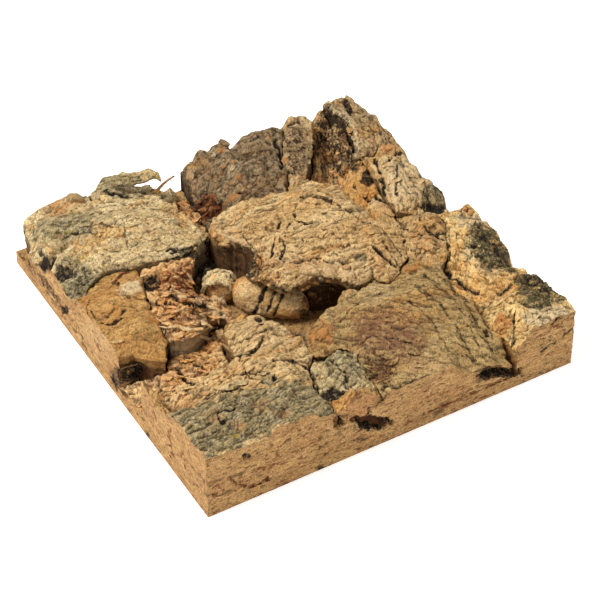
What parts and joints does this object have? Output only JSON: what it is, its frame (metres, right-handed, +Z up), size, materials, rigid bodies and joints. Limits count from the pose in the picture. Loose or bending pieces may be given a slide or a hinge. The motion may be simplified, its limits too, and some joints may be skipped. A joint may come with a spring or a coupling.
{
  "type": "cork bark slab",
  "caption": "Square decorative slab of raw cork bark pieces glued side by side on a thin pressed-cork board, sawn flat on its four sides and underside.",
  "frame": {"origin": "middle of the sawn underside, on the surface the slab lies on", "axes": "+Z up out of the raw bark face; X and Y along the sawn sides; the picture looks from the -X-Y side, so the side faces at -X and -Y are the ones it shows"},
  "size_m": [0.3, 0.3, 0.0649],
  "materials": {
    "pressed_cork": "matt, sawn, pressed cork granules",
    "lichen_bark": "matt, rough, grey-green with lichen",
    "twig_wood": "matt, dry bark",
    "rust_cork": "matt, crumbly red-brown inner cork",
    "dark_bark": "matt, rough, dark grey-brown bark",
    "weathered_bark": "matt, ridged brown-grey bark",
    "tan_cork": "matt, torn tan cork with ridges and pores",
    "orange_cork": "matt, freshly torn orange cork",
    "mossy_bark": "matt, torn orange cork under dark mossy bark",
    "olive_cork": "matt, olive-tan bark with dark stripes and a purple-brown scar",
    "amber_cork": "matt, tan cork with a smooth orange patch",
    "striped_bark": "matt, pale bark with dark growth rings"
  },
  "bodies": {
    "root": {"backing_board": "pressed_cork", "grey_plate": "lichen_bark", "curled_peel": "lichen_bark", "twig": "twig_wood", "low_back_piece": "rust_cork", "dark_back_chunk": "dark_bark", "upright_flake": "weathered_bark", "hollow_trough": "rust_cork", "back_corner_chunk": "weathered_bark", "right_back_chunk": "tan_cork", "upper_wedge_flake": "orange_cork", "lower_wedge_flake": "tan_cork", "centre_chunk": "tan_cork", "round_chunk": "tan_cork", "mossy_chunk": "mossy_bark", "right_front_chunk": "mossy_bark", "big_brown_chunk": "olive_cork", "grey_knob": "lichen_bark", "front_wedge": "orange_cork", "front_left_chunk": "tan_cork", "amber_plate": "amber_cork", "rust_chunk": "rust_cork", "left_hollow_piece": "rust_cork", "left_edge_piece": "orange_cork", "inner_floor_piece": "dark_bark", "inner_front_piece": "dark_bark", "striped_log": "striped_bark", "arched_flake": "lichen_bark"}
  },
  "joints": []
}
